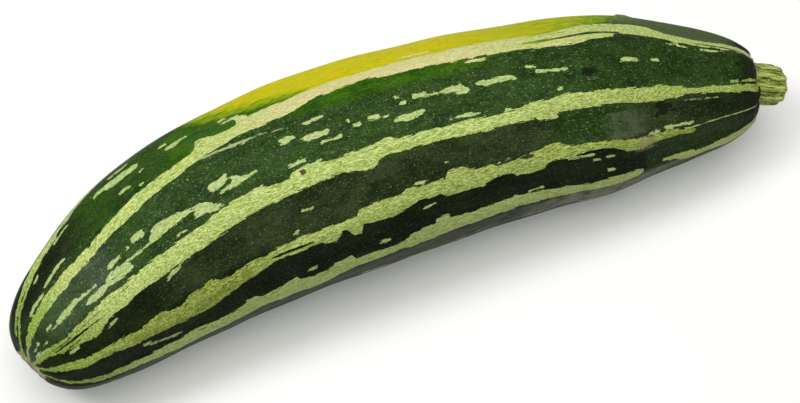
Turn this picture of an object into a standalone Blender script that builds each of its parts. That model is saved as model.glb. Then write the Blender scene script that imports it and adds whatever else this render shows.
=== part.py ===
"""A large striped zucchini with its cut stem, lying on its side as picked.

Metres, +Z up. The fruit lies along X, blossom end at -X and stem at +X, and
bends sideways in the plane of the table, with its outer side towards +Y. The
origin is the middle of the base. Stations are given in millimetres and
degrees, because that is how a fruit is measured, and turned into metres and
radians once.
"""

import math

import bpy
import numpy as np
from mathutils import Euler, Matrix, Vector

MM = 0.001

# Middle line of the fruit, by distance from the blossom scar: which way it
# heads (degrees from +X, in plan) and how high it runs above the table (mm).
BLOSSOM_END = Vector((-0.1482, -0.0234, 0.0))
HEADING = ((0, 25.0), (44, 17.8), (89, 4.2), (139, -2.0), (194, -5.9), (244, -11.7), (309, -24.0))
HEIGHT = (
    (0, 30.0),
    (40, 32.0),
    (70, 34.7),
    (100, 36.6),
    (140, 37.1),
    (175, 36.0),
    (210, 33.8),
    (240, 31.4),
    (270, 29.9),
    (309, 29.0),
)
LINE_STEP = 0.5

# Turned outline: distance along the middle line and radius, both mm.
BODY_OUTLINE = (
    (0.5, 0.0),
    (0.5, 3.2),
    (0.0, 4.8),
    (0.5, 8.8),
    (2.2, 13.4),
    (5.6, 17.8),
    (12.5, 22.6),
    (24, 27.4),
    (40, 32.2),
    (64, 36.2),
    (96, 38.6),
    (134, 39.3),
    (172, 38.1),
    (206, 36.0),
    (240, 33.8),
    (258, 29.1),
    (274, 24.6),
    (286, 20.3),
    (293, 15.7),
    (296.4, 12.0),
    (296.5, 9.8),
)

# Round seat of the stem, a little outward of the middle line and above it.
SEAT_SHIFT = (2.1, 0.8)
SEAT_SHIFT_RADIUS = 9.8
NO_SHIFT_RADIUS = 12.5
SHOULDER_START = 280
SOCKET_RADIUS = 8.7
SOCKET_LIP = 295.8
SOCKET_FLOOR = 293.2

# Ten soft ribs, by angle round the middle line: 0 is the outer side of the
# bend, 90 the top and 270 the underside.
RIB_ANGLES = (33, 68, 110, 141, 169, 210, 252, 288, 323, 358)
RIB_DRIFT = ((0, 5.0), (44, 6.0), (94, 2.0), (144, 0.0), (204, 0.0), (259, 3.0), (297, 3.0))
RIB_DEPTH = ((0, 0.2), (12, 0.8), (60, 1.0), (140, 1.0), (234, 1.0), (278, 1.6), (297, 1.2))
RIB_SHARPNESS = 1.4
PLAIN_RADIUS = 10.0
FULL_RIB_RADIUS = 14.0

# Stem, by distance above the socket floor, both mm.
STEM_OUTLINE = ((0.4, 8.2), (2.6, 8.3), (5.0, 8.3), (7.5, 8.2), (10.0, 8.1), (10.9, 7.6))
STEM_RIBS = 8
STEM_RIB_DEPTH = 0.6
STEM_RIB_START = 2.8
STEM_RIB_FULL = 4.5
STEM_LEAN = (0.5, -0.5)
STEM_TWIST = math.radians(8)
STEM_CUT_DOWN = math.radians(21)
STEM_CUT_OUTWARD = math.radians(12)

FRUIT_SIDES = 80
FRUIT_RINGS = 44
RING_CROWDING = 0.62
STEM_SIDES = 48
STEM_RINGS = 7
MERGE = 0.00005

SKIN_GREEN = (0.020, 0.060, 0.018, 1.0)
STEM_GREEN = (0.250, 0.330, 0.080, 1.0)


def through(stations, at):
    """Value at a distance on the smooth curve through the stations, with three-point slopes."""
    x, y = np.array(stations, float).T
    slope = np.gradient(y, x)
    i = np.clip(np.searchsorted(x, at, side="right") - 1, 0, len(x) - 2)
    h = x[i + 1] - x[i]
    t = (np.asarray(at, float) - x[i]) / h
    rise = t * t * (3 - 2 * t)
    return (
        y[i] * (1 - rise)
        + y[i + 1] * rise
        + h * slope[i] * t * (1 - t) ** 2
        - h * slope[i + 1] * t * t * (1 - t)
    )


def smooth_outline(stations, count, crowding):
    """Points on the smooth outline through the stations, closer together towards its two ends."""
    distance, radius = np.array(stations, float).T
    run = np.concatenate([[0.0], np.cumsum(np.hypot(np.diff(distance), np.diff(radius)))])
    u = np.linspace(0.0, 1.0, count)
    at = run[-1] * (u - crowding * np.sin(2 * math.pi * u) / (2 * math.pi))
    return list(zip(through(list(zip(run, distance)), at), through(list(zip(run, radius)), at)))


def middle_line():
    """Distances, plan positions and headings along the middle line, from the heading alone."""
    distance = np.arange(0.0, HEADING[-1][0] + LINE_STEP, LINE_STEP)
    heading = np.radians(through(HEADING, distance))
    between = (heading[1:] + heading[:-1]) / 2
    x = BLOSSOM_END.x + np.concatenate([[0.0], np.cumsum(np.cos(between))]) * LINE_STEP * MM
    y = BLOSSOM_END.y + np.concatenate([[0.0], np.cumsum(np.sin(between))]) * LINE_STEP * MM
    return distance, x, y, heading


LINE = middle_line()


def frame_at(distance):
    """Point on the middle line, the level direction to the bend's outer side, and the heading."""
    s, x, y, heading = LINE
    turn = float(np.interp(distance, s, heading))
    point = Vector((
        float(np.interp(distance, s, x)),
        float(np.interp(distance, s, y)),
        float(through(HEIGHT, distance)) * MM,
    ))
    return point, Vector((-math.sin(turn), math.cos(turn), 0.0)), turn


def rib_hollow(distance, angle):
    """How far the skin lies below the rib tops, in mm, at an angle in radians."""
    here = (math.degrees(angle) - float(through(RIB_DRIFT, distance))) % 360
    tops = [a % 360 for a in RIB_ANGLES]
    before = max((a for a in tops if a <= here), default=max(tops) - 360)
    after = min((a for a in tops if a > here), default=min(tops) + 360)
    share = (here - before) / (after - before)
    return float(through(RIB_DEPTH, distance)) * math.sin(math.pi * share) ** RIB_SHARPNESS


def turned(name, outline, sides):
    """A mesh turned about Z from (height, radius) points in mm, listed from the top down the outer side."""
    profile = bpy.data.meshes.new(name + "_outline")
    points = [(radius * MM, 0.0, height * MM) for height, radius in outline]
    profile.from_pydata(points, [(i, i + 1) for i in range(len(points) - 1)], [])
    holder = bpy.data.objects.new(name + "_outline", profile)
    bpy.context.scene.collection.objects.link(holder)
    screw = holder.modifiers.new("Turn", "SCREW")
    screw.steps = sides
    screw.render_steps = sides
    screw.use_merge_vertices = True
    screw.merge_threshold = MERGE
    graph = bpy.context.evaluated_depsgraph_get()
    mesh = bpy.data.meshes.new_from_object(holder.evaluated_get(graph))
    mesh.name = name
    bpy.data.objects.remove(holder)
    bpy.data.meshes.remove(profile)
    return mesh


def seat_shift(outward):
    """From the middle line to the middle of the stem's seat."""
    return (SEAT_SHIFT[0] * outward + SEAT_SHIFT[1] * Vector((0, 0, 1))) * MM


def place_fruit_point(co):
    """A point of the straight turned fruit, moved to the ribbed and bent one."""
    distance = co.z / MM
    radius = math.hypot(co.x, co.y) / MM
    angle = math.atan2(co.y, co.x)
    ribbed = min(max((radius - PLAIN_RADIUS) / (FULL_RIB_RADIUS - PLAIN_RADIUS), 0.0), 1.0)
    radius -= rib_hollow(distance, angle) * ribbed
    middle, outward, _ = frame_at(distance)
    if distance > SHOULDER_START:
        near = (NO_SHIFT_RADIUS - radius) / (NO_SHIFT_RADIUS - SEAT_SHIFT_RADIUS)
        middle += seat_shift(outward) * min(max(near, 0.0), 1.0)
    placed = middle + radius * MM * (math.cos(angle) * outward + math.sin(angle) * Vector((0, 0, 1)))
    placed.z = max(placed.z, 0.0)
    return placed


def make_fruit():
    """The ribbed body, with the blossom scar at one end and the round seat of the stem at the other."""
    socket = [(SOCKET_FLOOR, 0.0), (SOCKET_FLOOR, SOCKET_RADIUS), (SOCKET_LIP, SOCKET_RADIUS)]
    body = smooth_outline(BODY_OUTLINE, FRUIT_RINGS, RING_CROWDING)
    mesh = turned("fruit", socket + body[::-1], FRUIT_SIDES)
    for vertex in mesh.vertices:
        vertex.co = place_fruit_point(vertex.co)
    return mesh


def place_stem_point(co):
    """A point of the straight turned stem, moved to the ridged, leaning and slantwise cut one."""
    height = co.z / MM
    top = STEM_OUTLINE[-1][0]
    radius = math.hypot(co.x, co.y) / MM
    angle = math.atan2(co.y, co.x)
    ridged = min(max((height - STEM_RIB_START) / (STEM_RIB_FULL - STEM_RIB_START), 0.0), 1.0)
    edge = STEM_OUTLINE[1][1]
    radius -= ridged * STEM_RIB_DEPTH * math.sin(STEM_RIBS * angle / 2) ** 2 * min(radius / edge, 1.0)
    along = max(height - STEM_RIB_START, 0.0) / (top - STEM_RIB_START)
    angle += along * STEM_TWIST
    down = radius * math.cos(angle)
    outward = radius * math.sin(angle)
    height -= along * (down * math.tan(STEM_CUT_DOWN) + outward * math.tan(STEM_CUT_OUTWARD))
    return Vector((down + along * STEM_LEAN[0], outward + along * STEM_LEAN[1], height)) * MM


def make_stem():
    """The short ridged stem, its root standing in the seat and its far end cut."""
    body = smooth_outline(STEM_OUTLINE, STEM_RINGS, 0.0)
    outline = [(body[-1][0], 0.0)] + body[::-1] + [(body[0][0], 0.0)]
    mesh = turned("stem", outline, STEM_SIDES)
    for vertex in mesh.vertices:
        vertex.co = place_stem_point(vertex.co)
    return mesh


def finish(mesh, colour, roughness, collection):
    """Links a mesh as an object of its own name, smooth shaded, with its own material."""
    obj = bpy.data.objects.new(mesh.name, mesh)
    collection.objects.link(obj)
    mesh.shade_smooth()
    mesh.set_sharp_from_angle(angle=math.radians(50))
    material = bpy.data.materials.new(mesh.name + "_material")
    material.use_nodes = True
    shader = material.node_tree.nodes["Principled BSDF"]
    shader.inputs["Base Color"].default_value = colour
    shader.inputs["Roughness"].default_value = roughness
    mesh.materials.append(material)
    return obj


def main():
    for obj in list(bpy.data.objects):
        bpy.data.objects.remove(obj)
    zucchini = bpy.data.collections.new("zucchini")
    bpy.context.scene.collection.children.link(zucchini)
    finish(make_fruit(), SKIN_GREEN, 0.38, zucchini)
    stem = finish(make_stem(), STEM_GREEN, 0.6, zucchini)
    middle, outward, heading = frame_at(SOCKET_FLOOR)
    seat = middle + seat_shift(outward)
    along = Matrix.Rotation(heading, 4, "Z") @ Euler((0, math.pi / 2, 0)).to_matrix().to_4x4()
    stem.matrix_world = Matrix.Translation(seat) @ along


main()
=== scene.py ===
"""The looks of a large striped zucchini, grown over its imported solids.

Metres, +Z up, in the part's own frame. Places on the fruit are given as on the
real one: millimetres along the skin from the middle of the blossom scar, and
degrees round the fruit, where 0 is the outer side of its bend, 90 the top and
270 the underside.
"""

import math
import random

import bpy
import numpy as np
from mathutils import Matrix, Vector


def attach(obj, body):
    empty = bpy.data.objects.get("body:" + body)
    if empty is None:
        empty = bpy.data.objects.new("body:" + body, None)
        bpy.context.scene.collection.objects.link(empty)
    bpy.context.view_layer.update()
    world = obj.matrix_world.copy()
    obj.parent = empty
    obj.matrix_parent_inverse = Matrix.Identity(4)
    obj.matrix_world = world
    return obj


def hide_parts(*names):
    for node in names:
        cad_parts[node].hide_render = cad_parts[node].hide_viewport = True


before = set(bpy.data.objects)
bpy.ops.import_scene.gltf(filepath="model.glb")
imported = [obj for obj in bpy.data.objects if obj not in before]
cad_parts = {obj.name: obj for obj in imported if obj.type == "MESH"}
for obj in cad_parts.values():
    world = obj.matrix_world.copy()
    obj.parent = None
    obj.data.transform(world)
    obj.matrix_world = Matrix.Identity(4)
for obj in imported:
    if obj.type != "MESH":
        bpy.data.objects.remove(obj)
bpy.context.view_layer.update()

MM = 0.001

# Middle line of the fruit, by distance along it: heading in plan (degrees) and height (mm).
BLOSSOM_END = (-0.1482, -0.0234)
HEADING = ((0, 25.0), (44, 17.8), (89, 4.2), (139, -2.0), (194, -5.9), (244, -11.7), (309, -24.0))
HEIGHT = (
    (0, 30.0),
    (40, 32.0),
    (70, 34.7),
    (100, 36.6),
    (140, 37.1),
    (175, 36.0),
    (210, 33.8),
    (240, 31.4),
    (270, 29.9),
    (309, 29.0),
)
LINE_STEP = 0.5

# Outline of the fruit: distance along the middle line and radius, both mm.
BODY_OUTLINE = (
    (0.5, 0.0),
    (0.5, 3.2),
    (0.0, 4.8),
    (0.5, 8.8),
    (2.2, 13.4),
    (5.6, 17.8),
    (12.5, 22.6),
    (24, 27.4),
    (40, 32.2),
    (64, 36.2),
    (96, 38.6),
    (134, 39.3),
    (172, 38.1),
    (206, 36.0),
    (240, 33.8),
    (258, 29.1),
    (274, 24.6),
    (286, 20.3),
    (293, 15.7),
    (296.4, 12.0),
    (296.5, 9.8),
)
SEAT_SHIFT = (2.1, 0.8)
SEAT_SHIFT_RADIUS = 9.8
NO_SHIFT_RADIUS = 12.5
SHOULDER_START = 280
SOCKET_RADIUS = 8.7
SOCKET_LIP = 295.8
SOCKET_FLOOR = 293.2

# Soft ribs, by angle round the middle line.
RIB_ANGLES = (33, 68, 110, 141, 169, 210, 252, 288, 323, 358)
RIB_DRIFT = ((0, 5.0), (44, 6.0), (94, 2.0), (144, 0.0), (204, 0.0), (259, 3.0), (297, 3.0))
RIB_DEPTH = ((0, 0.2), (12, 0.8), (60, 1.0), (140, 1.0), (234, 1.0), (278, 1.6), (297, 1.2))
RIB_SHARPNESS = 1.4
PLAIN_RADIUS = 10.0
FULL_RIB_RADIUS = 14.0

# Small relief, in mm. A place is a stretch of the skin and a side a range of angles, each with its softness.
# A pace is the distance along the skin in which a wave turns by one radian.
LOBE_HEIGHT = 1.3
LOBE_SHARPNESS = 0.7
LOBE_PLACE = (303, 316, 12)
PLAIN_LOBE_SIDE = (14, 80, 14)
PLAIN_LOBE_LOSS = 0.7
LONG_WAVE = 0.18
LONG_WAVE_PACE = 11.0
LONG_WAVE_SWING = 2.0
SHORT_WAVE = 0.14
SHORT_WAVE_PACE = 5.3
SHORT_WAVE_SWING = 3.0
WAVE_PLACE = (40, 285, 20)
FLUTE = 0.10
FLUTE_COUNT = 20
FLUTE_PACE = 17.0
FLUTE_PLACE = (25, 300, 15)
BUMP_HEIGHT = 1.0
BUMP_PLACE = (265.5, 268.5, 2.4)
BUMP_SIDE = (14, 28, 9)
SCAR_RIM_HEIGHT = 1.0
SCAR_RIM_PLACE = (3.0, 4.3, 1.5)
SCAR_RIPPLE = 0.16
SCAR_RIPPLE_COUNT = 7
SCAR_DIMPLE = 0.5
SCAR_DIMPLE_REACH = 2.0
PLEAT_HEIGHT = 0.26
PLEAT_COUNT = 10
PLEATS_AT = 8.5
PLEAT_REACH = 2.6
BLOSSOM_END_REACH = 20
SEAT_HOLLOW = 1.3
SEAT_HOLLOW_SHARPNESS = 0.8
PLAIN_SEAT_SIDE = (10, 84, 14)
UPPER_SEAT_DROP = 1.5
UPPER_SEAT_SIDE = (0, 98, 18)
SEAT_START = 306
SEAT_REACH = 9
SEAT_FLOOR_MARGIN = 0.4
SEAT_WALL_REACH = 2.4
SEAT_LIP_BEVEL = (0.3, 0.15)
SEAT_LIP_CREASE = 0.8
SEAT_FLOOR_RING = 4.0

# Stem, by distance above the socket floor, both mm.
STEM_OUTLINE = ((0.4, 8.2), (2.6, 8.3), (5.0, 8.3), (7.5, 8.2), (10.0, 8.1), (10.9, 7.6))
STEM_RING_HEIGHTS = (0.4, 1.4, 2.6, 3.6, 5.0, 6.5, 8.0, 9.3, 10.2, 10.7, 10.9)
STEM_FOOT_RING = (0.4, 4.0)
STEM_CUT_RINGS = [(10.95, 6.6), (10.75, 5.2), (10.8, 3.0)]
STEM_RIBS = 10
STEM_FINE_RIDGES = 30
STEM_FINE_RIDGE_DEPTH = 0.2
STEM_RIB_DEPTH = 0.75
STEM_RIB_START = 2.4
STEM_RIB_FULL = 4.0
STEM_RIB_SHARPNESS = 1.3
STEM_WALL_RADIUS = 5.0
STEM_WALL_SOFTNESS = 3.0
STEM_LEAN = (0.5, -0.5)
STEM_TWIST = math.radians(8)
STEM_CUT_DOWN = math.radians(21)
STEM_CUT_OUTWARD = math.radians(12)
STEM_CUT_DEPTH = 0.9
STEM_CUT_MARGIN = 0.4
STEM_CUT_SOFTNESS = 0.5
STEM_RIM_DEPTH = 1.1
STEM_RIM_RADIUS = 6.0
STEM_RIM_SOFTNESS = 0.8

# Pale stripes of the sides in view: rows of distance along the skin, lower angle, upper angle.
LIMB_STRIPE = (
    (15, 54, 59), (18, 50.5, 55), (20, 49, 53), (25, 45.5, 50), (30, 42.5, 47), (40, 38.5, 43.5),
    (50, 37.5, 41.5), (60, 34, 40), (72, 28, 36), (84, 18, 27), (100, 15, 23), (140, 14, 22),
    (200, 14, 22), (240, 14, 22), (270, 13, 22), (300, 10, 22), (318, 9, 22), (328, 12, 21),
)
LIMB_STRIPE_BRANCH = (
    (8, 68, 80), (12, 66, 73), (16, 62, 67), (18, 60, 65.5), (20, 56, 61), (25, 51, 55.5), (30, 48, 51.5),
    (36, 45, 48.5), (40, 43, 46), (52, 41, 43),
)
CREAM_STRIPE = (
    (7, 88, 98), (10, 86.5, 92), (12, 85, 89.5), (14, 83, 89), (15, 82, 88.5), (18, 79, 87),
    (20, 78, 86.5), (25, 75.5, 85), (30, 75, 84), (40, 75, 83.5), (50, 76, 83.5), (57, 77, 83.5),
    (60, 76, 82.5), (70, 74, 81.5), (80, 72.5, 80), (85, 72, 79), (90, 71, 78), (95, 70, 77),
    (100, 69, 75.5), (103.5, 68.5, 75), (104.5, 61.5, 75), (107, 61, 74.8), (109, 62, 74.5),
    (112, 65, 74), (120, 65, 73), (121, 56, 73), (123, 57.5, 73), (125, 60.5, 72.5), (130, 61, 72.5),
    (136, 61, 72.5), (140, 61, 71.5), (143, 60.5, 70), (148, 59, 68.5), (150, 58.5, 67.5),
    (155, 57.5, 67.5), (160, 57, 66), (165, 57, 65.5), (171, 57, 65.5), (172, 57, 67.5), (180, 57, 68),
    (190, 56.5, 68.5), (200, 56.5, 69), (210, 57, 69.5), (220, 56, 69.5), (226, 56, 69.5),
    (230, 57, 70.5), (240, 57, 72), (243, 55, 72), (248, 53, 71), (250, 51.5, 70), (255, 51, 69.5),
    (259, 50.5, 69), (260, 50.5, 64), (265, 50, 65), (270, 50.5, 66), (275, 52, 67.5), (280, 58, 69.5),
    (283, 59, 70.5), (287, 60, 71), (290, 61.5, 71.5), (295, 61, 71), (300, 58, 70.5), (303, 56, 69),
    (308, 52, 66), (312, 50, 64), (318, 50, 62), (328, 52, 61),
)
TOP_STRIPE = (
    (7, 104, 113), (11, 107, 114), (15, 109, 115.5), (20, 110, 117), (22, 110.5, 118.5), (25, 111.5, 121),
    (30, 112, 122), (34, 111.5, 122), (40, 111, 122), (50, 110.5, 122.5), (55, 110.5, 121.5),
    (57, 110.5, 120.7), (70, 110.5, 120.5), (80, 110, 120.3), (90, 110, 120), (95, 109, 119),
    (97, 108, 118.5), (100, 107.5, 118), (105, 106, 117), (110, 105, 116), (115, 105, 115.5),
    (119, 105, 115), (120, 106.5, 114.8), (130, 106.5, 114.3), (131, 104, 114.3), (141.5, 104, 113.5),
    (142.5, 105.5, 113.5), (150, 105.5, 114), (153, 105.5, 114.5), (154, 105.5, 116), (160, 105, 116),
    (161, 105, 113), (164, 105, 112.8), (165, 102.7, 112.5), (167.5, 102.7, 112.5), (168.5, 105, 112.5),
    (175, 106, 112.5), (180, 106, 112.5), (190, 106.5, 113), (200, 107, 114), (205, 107.3, 114.5),
    (215, 107.3, 114.5), (220, 106.5, 114.5), (221, 105.5, 114.5), (230, 105, 114.3), (236, 104, 114),
    (239, 104.5, 114), (243, 106, 114), (250, 106, 114.5), (255, 106.2, 115), (260, 106.8, 116),
    (265, 107.2, 116.5), (270, 107.5, 117), (278, 108, 117), (281, 108.3, 115), (290, 110.3, 115.5),
    (300, 110, 116.5), (303, 109.5, 117), (308, 108.8, 117), (313, 107.5, 117), (318, 106, 117),
    (328, 107, 116),
)
OLIVE_STRIPE = (
    (7, 118, 127), (9.5, 124, 131), (12, 128, 134), (15, 131, 137), (18, 131.5, 140), (20, 132, 142),
    (22, 133, 143), (25, 136, 145.5), (27, 138, 147), (30, 139.5, 146), (35, 140, 146.5),
    (40, 140.5, 147.5), (42.5, 141, 148), (43, 141, 150), (50, 142, 151.5), (55, 142, 152),
    (57, 140, 152), (63, 140, 152.5), (65, 142, 153), (70, 143, 155), (74, 142, 155.5), (75, 140, 155.5),
    (80, 140, 156), (85, 139, 155), (88, 139, 154), (90, 141, 153), (95, 141.5, 151), (100, 141, 149.5),
    (105, 140, 149), (110, 140.5, 147), (112, 139.5, 145.5), (120, 138, 145.5), (129, 138, 145),
    (132, 138, 145), (134, 138, 148), (139, 138, 148.5), (140, 138, 143), (143.5, 138, 143),
    (144, 138, 148.5), (148, 138, 149), (149, 135, 143.5), (155, 134.5, 145), (160, 135, 145),
    (165, 135, 144), (168, 133.5, 143), (170, 133.5, 142), (172, 134, 141.5), (180, 134, 141.5),
    (181, 134, 144), (183.5, 134, 144), (184.5, 130.5, 144), (191, 130, 144), (192, 132.5, 144.5),
    (196, 133.5, 145), (200, 133.5, 142.5), (203, 135, 141), (208, 135, 141.5), (210, 135, 145),
    (214, 134, 145), (221, 133.5, 145), (222, 132, 142), (225, 131.5, 141), (229, 132, 141.5),
    (231, 134, 141.5), (233, 136, 141.5), (240, 136, 141), (245, 136.5, 141), (250, 137, 142),
    (252, 137, 144), (255, 139, 147), (260, 140, 148), (265, 140.5, 147), (268, 141, 146.5),
    (270, 141, 146), (275, 140, 145.5), (280, 142, 146), (284, 143, 147), (286, 145, 146.5),
)
TOP_STRIPE_LINE = (
    (302, 106, 108), (306, 104.6, 107), (310, 102.6, 105), (314, 100.8, 103.2), (318, 99.4, 102.2),
)
TOP_STRIPE_LOBE = (
    (24, 120, 122), (30, 121, 124.5), (34, 121, 126.5), (39, 121, 127.5), (42, 121, 126), (45, 120, 123),
)
SIDE_STRIPE = (
    (7, 134, 144), (9.5, 142, 149), (12, 150, 155), (15, 158, 163), (18, 161, 167), (20, 163, 168.5),
    (22, 164.5, 170.5), (25, 166, 172.5), (30, 168.5, 174), (40, 169.5, 175), (50, 169, 175.5),
    (57, 168.5, 176), (60, 168.5, 178), (65, 168.5, 179), (70, 167, 179), (75, 168, 180),
    (80, 168.5, 180), (90, 168, 179), (95, 167, 178.5), (97, 164.5, 178.5), (102, 164.5, 178),
    (103, 167, 178), (112, 166, 180), (115, 164, 178.5), (120, 162.7, 178.5), (121, 166, 179.5),
    (127, 167, 180), (133, 166.5, 178), (134, 164, 178), (136, 163.5, 176), (142, 163, 173.5),
    (143, 166, 173), (160, 166, 171.5), (164, 166, 172), (165, 163, 173), (170, 162, 173),
    (175, 161.5, 173), (180, 161.5, 172), (185, 161.5, 170.5), (200, 161, 170.5), (210, 161, 169.5),
    (215, 161.5, 169), (220, 162, 169.5), (225, 163, 170), (230, 164, 172), (235, 166, 173.5),
    (240, 167, 175), (245, 166.5, 175), (255, 167, 174), (260, 166.5, 173), (262.5, 168, 171.5),
)
SIDE_STRIPE_END = (
    (272, 167, 168.6), (278, 167, 170), (281, 167.5, 176), (284, 168, 182), (290, 169.5, 185),
    (300, 168, 186), (310, 167, 184), (318, 166, 178), (328, 166, 175),
)
STRIPES = (
    LIMB_STRIPE,
    LIMB_STRIPE_BRANCH,
    CREAM_STRIPE,
    TOP_STRIPE,
    TOP_STRIPE_LINE,
    TOP_STRIPE_LOBE,
    OLIVE_STRIPE,
    SIDE_STRIPE,
    SIDE_STRIPE_END,
)

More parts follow.
